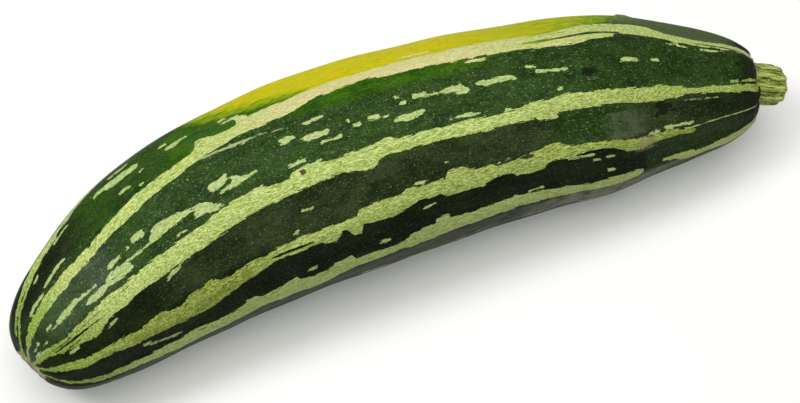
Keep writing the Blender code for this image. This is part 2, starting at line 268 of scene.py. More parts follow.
# Short pale dashes in the dark bands, as rows of the same kind.
DASHES = (
    # Above the cream stripe
    ((35, 52, 54), (38, 51, 53.5)),
    ((25, 71, 73), (26, 70, 73), (34, 70, 72.5), (35, 71, 72)),
    ((36, 67, 69), (40, 66, 69), (44, 65.5, 68.5), (48, 66.5, 68.5)),
    ((49, 45.5, 47.5), (57, 44.5, 46)),
    ((68.5, 45.5, 48), (73.5, 46, 49), (74, 46, 51), (79, 46.5, 51.5), (85, 47, 51), (86, 48, 50)),
    ((76, 41.5, 43.5), (84, 41.2, 43)),
    ((76, 61.5, 63.5), (80, 61, 64)),
    ((94.5, 46, 48), (97.5, 45.5, 47.5)),
    ((96, 50, 51.4), (97, 50, 53.5), (100, 50, 54), (101, 50, 51.6), (104, 50, 51)),
    ((85.5, 55.5, 57), (87, 54.3, 56)),
    ((82.5, 67.5, 69), (84, 67.3, 68.8)),
    ((115, 52, 54.5), (117.5, 51.7, 54.5)),
    ((115.5, 56.2, 58), (118, 55.8, 57.6), (122, 54.5, 58)),
    ((181.5, 51.3, 52.6), (186, 50.9, 52.9), (193, 51.5, 52.9)),
    # Between the cream and the top stripe
    ((14, 104.5, 106), (19, 103.6, 105.8)),
    ((15, 107, 109.4), (20.5, 107, 109.6)),
    ((15.5, 97.5, 98.8), (20, 95.5, 98.5)),
    ((21, 102, 103.3), (24, 102, 103.3)),
    ((25, 94.2, 95.8), (29, 93.8, 95.6)),
    ((27, 98.4, 99.2), (31, 97.4, 99.6), (32, 95.8, 99.4), (36, 95.6, 100), (38, 94.6, 99.3),
     (42, 95, 98.4), (43, 96.4, 98.8), (46, 97.8, 99.2), (50, 98.6, 100)),
    ((43, 104, 106), (44.5, 102.7, 106.5), (50, 102.5, 107), (53, 103, 105), (54.5, 100.5, 106.5),
     (60, 100, 107), (63.5, 101.5, 106.5), (64.2, 103, 106)),
    ((63, 100.6, 102), (70, 101, 102), (78, 100, 101.4)),
    ((57, 95.5, 97.5), (58, 94.5, 97.5), (63, 94.3, 97)),
    ((66, 94, 95.5), (67.4, 94, 95.3)),
    ((69, 92, 94.5), (70, 91.8, 95), (74.5, 92, 95)),
    ((75, 98.8, 101), (77.5, 95.5, 101), (83, 95, 101), (88, 95.8, 101), (89, 97, 100), (95, 98.3, 99.8)),
    ((93, 102.4, 104), (95, 98.4, 104), (97, 98, 104), (99, 99, 106), (101, 102.5, 106),
     (104, 103.5, 105)),
    ((83.5, 106.2, 107.4), (88, 106, 107.5)),
    ((96.5, 82, 84), (97.5, 81, 83)),
    ((101, 92.4, 93.2), (102.6, 91.6, 95.6), (104.5, 91.2, 95.8), (107.2, 90.4, 95), (109, 90.2, 93)),
    ((104.6, 97.4, 98.4), (108, 96.8, 98.6), (109.6, 96.2, 98.4), (110, 93.4, 98.3), (112.8, 93.2, 98),
     (113.4, 95.3, 98), (116, 95.6, 97.4), (119.4, 95.2, 96.6)),
    ((131, 85, 87.5), (133, 84.3, 88), (136.5, 85, 87)),
    ((138, 88, 90), (141, 88, 91.4), (148.5, 89, 91.2)),
    ((140.5, 80.7, 82), (148.5, 80, 81.3)),
    ((144.5, 94.3, 95.6), (152, 93.7, 95)),
    ((130, 100, 101.5), (136.5, 99.8, 101.2)),
    ((155, 87, 88.6), (156.2, 87.2, 88.8)),
    ((157, 90.3, 93), (160, 90.3, 92.6)),
    ((163, 89.2, 91), (166, 89.2, 91.5), (167.4, 89.5, 91)),
    ((169, 91, 92), (170, 91, 92.1)),
    ((174.2, 81.5, 83.5), (176.2, 82.3, 84)),
    ((175.3, 86.2, 87.3), (178, 86.5, 87.6)),
    ((171.5, 95, 96.4), (174, 94, 97), (178, 94, 97.5), (182, 94.2, 96.4), (183, 94.4, 95.6)),
    ((180.3, 84, 86.5), (184.5, 84.2, 87), (186.5, 85.5, 87.4), (190.5, 86.4, 87.6), (193, 85, 88.3),
     (196, 84.6, 88.7), (199.5, 85, 89), (200.5, 88, 91), (201, 89, 91)),
    ((196.5, 88.5, 90.6), (201, 88.8, 91)),
    ((191, 102.3, 103.4), (202, 103.6, 104.8)),
    ((203, 71, 72.4), (211, 71, 72.6)),
    ((204, 86, 87.4), (207, 85.7, 89), (216, 85.3, 88.8), (217, 86.5, 89), (219, 88, 89.2)),
    ((211, 105.3, 106.6), (213.3, 105.3, 106.7)),
    ((223.5, 81, 83), (227, 82.4, 84.2)),
    ((227, 86, 87.4), (238.5, 87.6, 89)),
    ((232.3, 100, 101.4), (234.2, 99.4, 101)),
    ((258.6, 85.4, 88), (262, 85.2, 87.9), (263, 86, 88.2), (266, 86.2, 88.1)),
    ((271, 85.5, 87), (274, 85.8, 87.7)),
    ((278, 72.4, 73.2), (283, 73.4, 74.4), (286.5, 74.6, 75.4)),
    ((291, 74.6, 75.8), (295, 74.4, 76), (301, 73.2, 74)),
    # Paler patches along the upper edge of the top stripe
    ((109.6, 105.4, 106.4), (113, 104.8, 106.2), (119.4, 104.6, 105.9)),
    ((130.6, 104.6, 106), (133, 103.9, 105.7), (138, 103.3, 105.1), (142.4, 103, 104.3)),
    ((74, 110.6, 111.6), (82, 110.2, 111.4), (90, 110.2, 111)),
    # Below the top stripe
    ((26, 125.5, 128), (28, 124.5, 128.3), (31, 126, 128)),
    ((43, 126.6, 128), (48.5, 126, 127.3)),
    ((71.5, 123.6, 125.2), (75, 122.2, 124.4), (79, 121, 122.8)),
    ((113, 124.8, 126), (113.1, 124.8, 126)),
    ((128.8, 124.2, 125.6), (133, 124.4, 125.8)),
    ((123, 134.4, 136), (126, 133.2, 135)),
    ((184, 125.3, 126.4), (186, 125.6, 126.6)),
    ((171.8, 131.4, 132.6), (177, 131.8, 133)),
    ((204, 133, 134), (209, 133.2, 134.3)),
    ((222, 115.4, 116.4), (230, 115.6, 116.8)),
    ((264.5, 138, 139.6), (270, 138, 139.4)),
    ((272.5, 137.4, 139.2), (275, 136.4, 139.2), (281, 137.4, 139), (285, 138.2, 139)),
    # Between the olive and the side stripe
    ((50, 155.4, 157.4), (53, 155.6, 158.4)),
    ((52.5, 158.4, 160.2), (58, 159.6, 161.8), (60, 161.5, 163), (66, 162.2, 164.4)),
    ((124, 160.6, 162.4), (128, 160.4, 162.4)),
    ((154, 159, 161), (157.8, 159.6, 161.4)),
    ((172.3, 147, 148.8), (178, 146, 147.3)),
    ((176.8, 158.4, 161.6), (181.8, 157.6, 161.6)),
    ((214, 159, 160.4), (220, 158.3, 159.6)),
    ((207, 159.8, 161), (209.2, 159.8, 161)),
    ((241, 147.3, 149.4), (244, 147.6, 149.2)),
    ((246.3, 147, 148.6), (250, 147.6, 149)),
    ((247.3, 158, 160), (250.2, 158.8, 160.8)),
    ((231, 142.3, 143.4), (236, 142.8, 144.2), (242, 143.6, 145)),
)

# Dark slits inside the pale stripes.
SLITS = (
    ((225.5, 63.8, 64.8), (230, 63, 66), (240, 64, 66), (245, 63, 65.6), (250, 61.6, 64.6),
     (255, 61.5, 64), (262, 62, 65)),
    ((22, 116.8, 118), (30, 116.9, 119), (38, 117.7, 119), (46, 118, 118.8)),
    ((26, 121.3, 123), (31, 121.6, 122.6), (34, 121.5, 122)),
    ((40, 114, 114.8), (50, 113.4, 114), (60, 113.2, 113.6)),
    ((111, 142.4, 143), (115, 142.2, 143.7), (125, 142, 143.7), (130, 142.6, 143.1)),
    ((212.5, 134.4, 135.4), (214, 134, 136.2), (217.5, 134.2, 136), (218.5, 134.8, 135.6)),
    ((72, 169.4, 170.2), (77, 169.6, 170.6)),
    ((228, 58.2, 59), (236, 58.4, 59.4), (243, 58, 58.8)),
    ((113.5, 58.5, 64.5), (120.5, 58, 64.6)),
    ((281, 108.6, 110), (286, 108, 111), (292, 109, 111)),
    ((302, 107.2, 108.6), (306, 106.6, 108.4), (312, 104.6, 107.2), (317, 102.6, 105.6)),
    ((287, 68.8, 69.8), (294, 68, 69.8), (302, 66.2, 68.4), (308, 63.6, 66), (312, 61.8, 63.6)),
    ((103, 74.4, 74.8), (106, 74.4, 75.2), (112, 74.2, 75.6), (118, 73.4, 76.4)),
    ((54, 103.2, 103.9), (58, 103.4, 104.3), (61, 103.8, 104.4)),
    ((30, 114.6, 115.2), (36, 114.4, 115.4), (43, 114.6, 115.2)),
    ((19, 113.2, 113.9), (26, 114.6, 115.6), (32, 115.8, 116.6)),
)

# Brown spots and dark pits: distance, angle and size in mm.
BROWN_SPOTS = (
    (134.3, 106.2, 1.35), (157.5, 63.5, 0.5), (142, 62.8, 0.3), (151, 112.5, 0.35), (271, 142, 0.4),
)
DARK_PITS = (
    (245.5, 92.6, 1.9), (245, 84, 0.5), (250.5, 97.4, 0.6), (261, 96, 0.7), (281, 80, 0.5), (274.5, 122, 1.3),
    (277, 126, 1.0), (236, 70.5, 0.45), (225, 88.5, 0.7), (208, 101, 0.5), (190, 78, 0.6), (137, 121, 0.8),
    (306.5, 84, 0.9), (296, 92, 0.4), (118, 84, 0.5), (171, 122, 0.5), (63, 128, 0.5),
    (271.5, 120.5, 1.5), (272.5, 125.5, 1.7), (269.5, 128, 1.0),
)

# Dry scratches and the thinnest pale lines, as rows.
SCRATCHES = (
    ((101, 73.8, 74.6), (111, 75.6, 76.6), (121, 76.8, 77.8), (127, 77, 77.6)),
    ((104, 75, 75.7), (112, 76.2, 76.9), (120, 78.6, 79.2)),
    ((115, 74.6, 78.4), (116, 74.8, 78.6)),
    ((127, 77.4, 78.1), (134, 79.1, 79.9)),
    ((148, 61.5, 62), (156, 62.2, 62.9)),
    ((281, 142.1, 142.9), (290, 141.3, 142.1), (300, 140, 140.9), (312, 139.5, 140.6), (320, 139, 140.3)),
    ((281, 119.4, 120), (288, 119.9, 120.7), (297, 120, 120.6)),
    ((268, 114.9, 115.3), (276, 119, 119.5)),
)

# Patches of colour: first and last distance along the skin and softness, first and last angle and
# softness, and strength.
ALL_ROUND = (0, 360, 1)
PATCHES = {
    "vivid": (
        (143, 205, 14, 56, 73, 7, 1),
        (102, 150, 14, 44, 66, 8, 1),
        (66, 104, 22, 30, 66, 10, 0.45),
    ),
    # deep: the darkest green, on the lower bands and at the blossom end. The rows that run into the stem at
    # the top (from 264 and from 298 on) and the ring from 311 on are painted shade, where the lobes turn in
    # to the stem.
    "deep": (
        (-5, 262, 6, 142, 196, 6, 1),
        (-5, 98, 14, 10, 64, 8, 0.6),
        (-5, 70, 14, 10, 66, 8, 0.9),
        (-1, 14, 16, *ALL_ROUND, 0.9),
        (264, 330, 24, 70, 100, 8, 0.35),
        (-5, 56, 26, 118, 142, 5, 0.85),
        (298, 330, 16, 118, 142, 6, 0.6),
        (311, 330, 8, *ALL_ROUND, 1),
        (262, 312, 6, 142, 196, 6, 0.55),
    ),
    "dull": ((40, 220, 20, 116, 142, 5, 1), (266, 330, 12, 116, 142, 5, 1)),
    "shaded": ((34, 318, 16, 163, 196, 5, 1),),
    "greying": ((266, 300, 10, 20, 60, 8, 1),),
    # lower: painted reflection of the pale floor, a grey band along the lower edge of the fruit.
    "lower": ((60, 300, 30, 177, 194, 8, 0.28), (236, 254, 46, 176, 192, 8, 0.86)),
    "scuff": ((251, 261, 6, 122, 136, 3, 1),),
    "rubbed": ((261, 266, 3, 141, 149, 3, 1),),
    "scar_middle": ((-1, 1.0, 2.4, *ALL_ROUND, 1),),
    "rays": ((4, 7, 4, *ALL_ROUND, 1),),
    "fresh": ((-1, 20, 24, *ALL_ROUND, 1),),
    "bloom": ((14, 50, 14, 86, 108, 10, 1),),
}
OLIVE_SIDE = ((0, 330, 1, 128, 158, 5, 1),)
OLIVE_TOP = ((236, 330, 20, 98, 122, 8, 1),)
OLIVE_END = ((0, 26, 22, *ALL_ROUND, 0.25), (-1, 32, 20, 100, 200, 6, 0.5))

# The scar and its spokes, and the soft edges of the other marks, in mm and degrees.
SCAR_PLACE = (-1, 5.8, 1.4)
SCAR_STRETCH = 1.5
SCAR_STRETCH_SIDE = (60, 150, 60)
SPOKE_RADIUS = 5
SPOKE_RUN = 0.12
CREAM_SIDE = (-10, 76, 4)
YELLOW_SOFTNESS = 16
YELLOW_BELOW = 34
PIT_STRETCH = 0.7
DASH_BLEND = 0.8
FAR_FROM_STRIPES = -6.0
FAR_FROM_MARKS = -3.0
LEAST_PAINT_RADIUS = 3.0

# How strong a colour is along the skin, and the angle that the yellow patch reaches up to: pairs of
# distance and value.
OLIVE_SIDE_STRENGTH = ((14, 0.5), (50, 0.9), (100, 1), (118, 0.35), (180, 0.4), (250, 0.8))
OLIVE_TOP_STRENGTH = ((240, 0.25), (320, 0.8))
CREAM_STRENGTH = (
    (104, 0), (122, 0.35), (145, 0.9), (170, 1), (200, 0.85), (224, 0.45), (244, 0.35), (258, 0),
)
YELLOW_EDGE = (
    (96, 26), (110, 46), (120, 49), (130, 52), (140, 57), (150, 62), (235, 62), (250, 56), (262, 44),
)
YELLOW_STRENGTH = ((90, 0), (120, 0.8), (135, 1), (225, 1), (245, 0.72), (262, 0.4), (276, 0))
RIPENESS = ((118, 0.7), (136, 1), (192, 1), (215, 0.5), (240, 0))

# The sides that lie out of view go on in the same way.
HIDDEN_STRIPES = (209, 250, 288, 322, 356)
HIDDEN_ENDS = (7, 328)
HIDDEN_DASH_ANGLES = (199, 229, 268, 305, 339, 14)
HIDDEN_DASHES_EACH = 11
HIDDEN_SEED = 23
HIDDEN_WANDER = 0.7
HIDDEN_WANDER_KEPT = 0.9
HIDDEN_HALF_WIDTH = 4.4
HIDDEN_HALF_WIDTHS = (3.3, 5.6)
HIDDEN_WIDTH_CHANGE = 0.6
HIDDEN_START_SHARE = 0.3
HIDDEN_START_TAPER = 18
HIDDEN_ROW_GAPS = (3, 11)
HIDDEN_STEP_CHANCE = 0.35
HIDDEN_STEP_LENGTH = 0.6
HIDDEN_LOW_STEPS = (0.0, 0.0, 1.4, 2.4, -0.9)
HIDDEN_HIGH_STEPS = (0.0, 0.0, 1.2, 2.6, -0.9)
HIDDEN_DASH_STARTS = (20, 295)
HIDDEN_DASH_LENGTHS = (2.5, 15)
HIDDEN_DASH_SPREAD = 8
HIDDEN_DASH_HALF_WIDTHS = (0.5, 1.7)
HIDDEN_DASH_SLANT = 0.8
HIDDEN_DASH_BUMPS = (0.5, 1.6)
RIB_DRIFT_END = 296

# How finely the pieces are made, distances in mm.
SKIN_SAMPLES = 1500
SEARCH_CHUNK = 4000
FRUIT_SIDES = 88
STEM_SIDES = 60
RING_STEP = 5.6
END_RING_STEP = 3.8
END_REACH = 30

# Camera, lamps (name, place, width, power, colour), floor and room.
CAMERA_LENS = 85.0
CAMERA_TARGET = Vector((-0.0025, -0.0173, 0.036))
CAMERA_DISTANCE = 0.6951
CAMERA_AZIMUTH = math.radians(-22.5)
CAMERA_ELEVATION = math.radians(68.0)
LAMPS = (
    ("key", (0.0, 0.08, 1.35), 1.3, 15.0, (1.0, 0.99, 0.97)),
    ("sheen", (-0.62, 0.24, 1.15), 0.4, 4.6, (1.0, 1.0, 1.0)),
)
LAMP_TARGET = (0, 0, 0.03)
FLOOR_SIZE = 6.0
FLOOR_GLOW = 0.16
ROOM_COLOUR = (0.95, 0.97, 1.0, 1.0)
ROOM_STRENGTH = 0.18


def through(stations, at):
    """Value at a distance on the smooth curve through the stations, with three-point slopes."""
    x, y = np.array(stations, float).T
    slope = np.gradient(y, x)
    i = np.clip(np.searchsorted(x, at, side="right") - 1, 0, len(x) - 2)
    h = x[i + 1] - x[i]
    t = (np.asarray(at, float) - x[i]) / h
    rise = t * t * (3 - 2 * t)
    return (
        y[i] * (1 - rise)
        + y[i + 1] * rise
        + h * slope[i] * t * (1 - t) ** 2
        - h * slope[i + 1] * t * t * (1 - t)
    )


def skin_path():
    """Distances along the skin and the middle line, and radii, from the scar to the middle of the seat."""
    distance, radius = np.array(BODY_OUTLINE, float).T
    run = np.concatenate([[0.0], np.cumsum(np.hypot(np.diff(distance), np.diff(radius)))])
    at = np.linspace(0.0, run[-1], SKIN_SAMPLES)
    along = list(through(list(zip(run, distance)), at))
    out = list(through(list(zip(run, radius)), at))
    corners = ((SOCKET_LIP, SOCKET_RADIUS), (SOCKET_FLOOR, SOCKET_RADIUS), (SOCKET_FLOOR, 1.0))
    for end_along, end_out in corners:
        start_along, start_out = along[-1], out[-1]
        for share in np.linspace(0, 1, 12)[1:]:
            along.append(start_along + (end_along - start_along) * share)
            out.append(start_out + (end_out - start_out) * share)
    along, out = np.array(along), np.array(out)
    skin = np.concatenate([[0.0], np.cumsum(np.hypot(np.diff(along), np.diff(out)))])
    return skin, along, out


SKIN, SKIN_ALONG, SKIN_RADIUS = skin_path()
SKIN_END = float(SKIN[SKIN_SAMPLES - 1])


def middle_line():
    """Distances, plan positions and headings along the middle line."""
    distance = np.arange(0.0, HEADING[-1][0] + LINE_STEP, LINE_STEP)
    heading = np.radians(through(HEADING, distance))
    between = (heading[1:] + heading[:-1]) / 2
    x = BLOSSOM_END[0] + np.concatenate([[0.0], np.cumsum(np.cos(between))]) * LINE_STEP * MM
    y = BLOSSOM_END[1] + np.concatenate([[0.0], np.cumsum(np.sin(between))]) * LINE_STEP * MM
    return distance, x, y, heading


LINE = middle_line()


def bent(along, outward, up):
    """Points of the straight fruit moved to the bent one; all distances in mm, the result in metres."""
    s, x, y, heading = LINE
    turn = np.interp(along, s, heading)
    return np.stack(
        [
            np.interp(along, s, x) - np.sin(turn) * outward * MM,
            np.interp(along, s, y) + np.cos(turn) * outward * MM,
            (through(HEIGHT, along) + up) * MM,
        ],
        -1,
    )


def rib_share(along, degrees):
    """Where a point lies between two ribs, 0 at the first and 1 at the next."""
    here = (degrees - through(RIB_DRIFT, along)) % 360
    tops = np.sort(np.array(RIB_ANGLES, float) % 360)
    around = np.concatenate([[tops[-1] - 360], tops, [tops[0] + 360]])
    k = np.clip(np.searchsorted(around, here, side="right") - 1, 0, len(around) - 2)
    return np.clip((here - around[k]) / (around[k + 1] - around[k]), 0, 1)


def hill(x, low, high, soft):
    """1 between low and high, falling to 0 over a soft distance outside them."""
    rise = np.clip((x - low) / soft + 1, 0, 1)
    fall = np.clip((high - x) / soft + 1, 0, 1)
    return rise * rise * (3 - 2 * rise) * fall * fall * (3 - 2 * fall)


def half_turn(degrees):
    """The same angles, counted from -180 to 180."""
    return (degrees + 180) % 360 - 180


def radial_change(skin, along, radius, degrees):
    """What the ribs, the lobes round the stem, the waves and the small bump add to the radius, in mm."""
    share = rib_share(along, degrees)
    hollow = through(RIB_DEPTH, along) * np.sin(math.pi * share) ** RIB_SHARPNESS
    change = -hollow * np.clip((radius - PLAIN_RADIUS) / (FULL_RIB_RADIUS - PLAIN_RADIUS), 0, 1)
    lobe = np.clip(np.sin(math.pi * share), 0, 1) ** LOBE_SHARPNESS
    plain = 1 - PLAIN_LOBE_LOSS * hill(half_turn(degrees), *PLAIN_LOBE_SIDE)
    change += LOBE_HEIGHT * hill(skin, *LOBE_PLACE) * (lobe - 0.5) * plain
    angle = np.radians(degrees)
    long_wave = np.sin(skin / LONG_WAVE_PACE + LONG_WAVE_SWING * np.sin(angle))
    short_wave = np.sin(skin / SHORT_WAVE_PACE + SHORT_WAVE_SWING * np.cos(angle + 0.6))
    change += LONG_WAVE * long_wave * hill(skin, *WAVE_PLACE)
    change += SHORT_WAVE * short_wave * hill(skin, *WAVE_PLACE)
    change += FLUTE * np.sin(FLUTE_COUNT * angle + skin / FLUTE_PACE) * hill(skin, *FLUTE_PLACE)
    change += BUMP_HEIGHT * hill(skin, *BUMP_PLACE) * hill(half_turn(degrees), *BUMP_SIDE)
    return change


def end_relief(skin, degrees):
    """How far the skin is moved along the middle line at the blossom end, in mm; outward is negative."""
    angle = np.radians(degrees)
    ripple = SCAR_RIPPLE * np.sin(SCAR_RIPPLE_COUNT * angle + 1.0)
    rim = hill(skin, *SCAR_RIM_PLACE) * (SCAR_RIM_HEIGHT + ripple)
    dimple = np.exp(-((skin / SCAR_DIMPLE_REACH) ** 2)) * SCAR_DIMPLE
    near = np.exp(-((skin - PLEATS_AT) / PLEAT_REACH) ** 2)
    pleats = near * PLEAT_HEIGHT * np.cos(PLEAT_COUNT * angle + 0.5)
    return dimple - rim - pleats


def seat_relief(skin, along, degrees):
    """How far the skin draws back round the stem, between the lobes and along the top, in mm."""
    share = rib_share(along, degrees)
    valley = 1 - np.clip(np.sin(math.pi * share), 0, 1) ** SEAT_HOLLOW_SHARPNESS
    upper = hill(half_turn(degrees), *UPPER_SEAT_SIDE)
    grooved = 1 - hill(half_turn(degrees), *PLAIN_SEAT_SIDE)
    above_floor = np.clip((along - SOCKET_FLOOR - SEAT_FLOOR_MARGIN) / SEAT_WALL_REACH, 0, 1)
    whole = above_floor * np.clip((skin - SEAT_START) / SEAT_REACH, 0, 1)
    return (SEAT_HOLLOW * valley * grooved + UPPER_SEAT_DROP * upper) * whole


def deselect():
    bpy.ops.object.select_all(action="DESELECT")


def extruded_rings(name, rings, sides):
    """A circle extruded through rings of given height and radius in mm, and closed at both ends."""
    deselect()
    height, radius = rings[0]
    bpy.ops.mesh.primitive_circle_add(
        vertices=sides, radius=radius * MM, fill_type="NOTHING", location=(0, 0, height * MM)
    )
    piece = bpy.context.object
    piece.name = name
    piece.data.name = name
    bpy.ops.object.transform_apply(location=True, rotation=True, scale=True)
    bpy.ops.object.mode_set(mode="EDIT")
    bpy.ops.mesh.select_all(action="SELECT")
    for next_height, next_radius in rings[1:]:
        step = (0, 0, (next_height - height) * MM)
        bpy.ops.mesh.extrude_region_move(TRANSFORM_OT_translate={"value": step})
        factor = next_radius / radius
        bpy.ops.transform.resize(value=(factor, factor, 1), center_override=(0, 0, next_height * MM))
        height, radius = next_height, next_radius
    bpy.ops.mesh.select_all(action="DESELECT")
    bpy.ops.mesh.select_non_manifold(
        use_wire=False, use_boundary=True, use_multi_face=False, use_non_contiguous=False, use_verts=False
    )
    bpy.ops.mesh.fill_holes(sides=0)
    bpy.ops.mesh.select_all(action="SELECT")
    bpy.ops.mesh.normals_make_consistent(inside=False)
    bpy.ops.object.mode_set(mode="OBJECT")
    return piece


def smoothed(piece, levels):
    """The piece with a subdivision surface applied, shaded smooth."""
    smooth = piece.modifiers.new("smooth", "SUBSURF")
    smooth.levels = levels
    smooth.render_levels = levels
    bpy.context.view_layer.objects.active = piece
    bpy.ops.object.modifier_apply(modifier=smooth.name)
    piece.data.shade_smooth()
    return piece


def points_of(piece):
    points = np.empty(len(piece.data.vertices) * 3)
    piece.data.vertices.foreach_get("co", points)
    return points.reshape(-1, 3)


def set_points(piece, points):
    piece.data.vertices.foreach_set("co", points.ravel())
    piece.data.update()


def store(piece, name, values):
    """Keeps a number or a vector per point, for the material to read."""
    kind = "FLOAT_VECTOR" if values.ndim == 2 else "FLOAT"
    attribute = piece.data.attributes.new(name, kind, "POINT")
    field = "vector" if values.ndim == 2 else "value"
    attribute.data.foreach_set(field, values.astype(np.float32).ravel())


def skin_of(along, radius):
    """Distance along the skin of points given by distance along the middle line and radius."""
    table = np.stack([SKIN_ALONG, SKIN_RADIUS], 1)[::2]
    found = np.empty(len(along))
    for start in range(0, len(along), SEARCH_CHUNK):
        part = slice(start, start + SEARCH_CHUNK)
        gap = (along[part, None] - table[:, 0]) ** 2 + (radius[part, None] - table[:, 1]) ** 2
        found[part] = SKIN[::2][np.argmin(gap, 1)]
    return found


def band_depth(rows, skin, degrees, mm_per_degree):
    """How deep a point lies inside a band given by rows, in mm, negative outside."""
    rows = np.array(rows, float)
    low = np.interp(skin, rows[:, 0], rows[:, 1])
    high = np.interp(skin, rows[:, 0], rows[:, 2])
    middle = (low + high) / 2
    across = np.abs(half_turn(degrees - middle))
    inside = ((high - low) / 2 - across) * mm_per_degree
    ends = np.minimum(skin - rows[0, 0], rows[-1, 0] - skin)
    return np.minimum(inside, ends)


def hidden_bands():
    """Stripes and dashes of the sides out of view, wandering and stepped as the others are."""
    chance = random.Random(HIDDEN_SEED)
    stripes = []
    dashes = []
    for middle in HIDDEN_STRIPES:
        rows = []
        at = HIDDEN_ENDS[0]
        wander = 0.0
        width = HIDDEN_HALF_WIDTH
        low_step = 0.0
        high_step = 0.0
        while at < HIDDEN_ENDS[1]:
            wander += chance.uniform(-HIDDEN_WANDER, HIDDEN_WANDER)
            wander *= HIDDEN_WANDER_KEPT
            width += chance.uniform(-HIDDEN_WIDTH_CHANGE, HIDDEN_WIDTH_CHANGE)
            width = min(max(width, HIDDEN_HALF_WIDTHS[0]), HIDDEN_HALF_WIDTHS[1])
            here = middle + float(through(RIB_DRIFT, min(at, RIB_DRIFT_END))) + wander
            half = width * min(HIDDEN_START_SHARE + (at - HIDDEN_ENDS[0]) / HIDDEN_START_TAPER, 1.0)
            rows.append((at, here - half - low_step, here + half + high_step))
            if chance.random() < HIDDEN_STEP_CHANCE:
                low_step = chance.choice(HIDDEN_LOW_STEPS)
                high_step = chance.choice(HIDDEN_HIGH_STEPS)
                rows.append((at + HIDDEN_STEP_LENGTH, here - half - low_step, here + half + high_step))
            at += chance.uniform(*HIDDEN_ROW_GAPS)
        stripes.append(rows)
    for middle in HIDDEN_DASH_ANGLES:
        for _ in range(HIDDEN_DASHES_EACH):
            start = chance.uniform(*HIDDEN_DASH_STARTS)
            length = chance.uniform(*HIDDEN_DASH_LENGTHS)
            angle = middle + chance.uniform(-HIDDEN_DASH_SPREAD, HIDDEN_DASH_SPREAD)
            angle += float(through(RIB_DRIFT, min(start, RIB_DRIFT_END)))
            half = chance.uniform(*HIDDEN_DASH_HALF_WIDTHS)
            slant = chance.uniform(-HIDDEN_DASH_SLANT, HIDDEN_DASH_SLANT)
            bump = chance.uniform(*HIDDEN_DASH_BUMPS)
            dashes.append((
                (start, angle - half * 0.5, angle + half * 0.5),
                (start + length * 0.3, angle - half, angle + half),
                (start + length * 0.6, angle + slant - half * bump, angle + slant + half),
                (start + length, angle + slant - half * 0.4, angle + slant + half * 0.4),
            ))
    return stripes, dashes


def ring_places():
    """Distances along the skin of the rings that the body is extruded through, closer at its ends."""
    fine = np.linspace(0.0, SKIN_END, 2000)
    middle = hill(fine, END_REACH, SKIN_END - END_REACH, END_REACH)
    gap = END_RING_STEP + (RING_STEP - END_RING_STEP) * middle
    passed = np.concatenate([[0.0], np.cumsum(np.diff(fine) / gap[1:])])
    count = int(passed[-1])
    return np.interp((np.arange(count) + 0.7) / count * passed[-1], passed, fine)


def make_fruit():
    """The whole body with its ribs, lobes, scar and seat, at the fine resolution the eye sees."""
    body = [
        (float(np.interp(place, SKIN, SKIN_ALONG)), float(np.interp(place, SKIN, SKIN_RADIUS)))
        for place in ring_places()
    ]
    seat = [
        (BODY_OUTLINE[-1][0], BODY_OUTLINE[-1][1]),
        (SOCKET_LIP + SEAT_LIP_BEVEL[0], SOCKET_RADIUS + SEAT_LIP_BEVEL[1]),
        (SOCKET_LIP - SEAT_LIP_CREASE, SOCKET_RADIUS),
        (SOCKET_FLOOR, SOCKET_RADIUS),
        (SOCKET_FLOOR, SEAT_FLOOR_RING),
    ]
    fruit = extruded_rings("fruit_skin", body + seat, FRUIT_SIDES)
    smoothed(fruit, 2)
    straight = points_of(fruit) / MM
    along = straight[:, 2].copy()
    radius = np.hypot(straight[:, 0], straight[:, 1])
    degrees = np.degrees(np.arctan2(straight[:, 1], straight[:, 0])) % 360
    skin = skin_of(along, radius)
    changed = radius + radial_change(skin, along, radius, degrees)
    angle = np.radians(degrees)
    outward = changed * np.cos(angle)
    up = changed * np.sin(angle)
    shoulder = along > SHOULDER_START
    near = np.clip((NO_SHIFT_RADIUS - changed) / (NO_SHIFT_RADIUS - SEAT_SHIFT_RADIUS), 0, 1) * shoulder
    relief = end_relief(skin, degrees) * (along < BLOSSOM_END_REACH) - seat_relief(skin, along, degrees)
    placed = bent(
        np.maximum(along + relief, -0.1),
        outward + SEAT_SHIFT[0] * near,
        up + SEAT_SHIFT[1] * near,
    )
    placed[:, 2] = np.maximum(placed[:, 2], 0.0)
    set_points(fruit, placed)
    paint_fruit(fruit, skin, degrees, radius)
    store(fruit, "grown", np.stack([radius * np.cos(angle), radius * np.sin(angle), skin], 1))
    return fruit


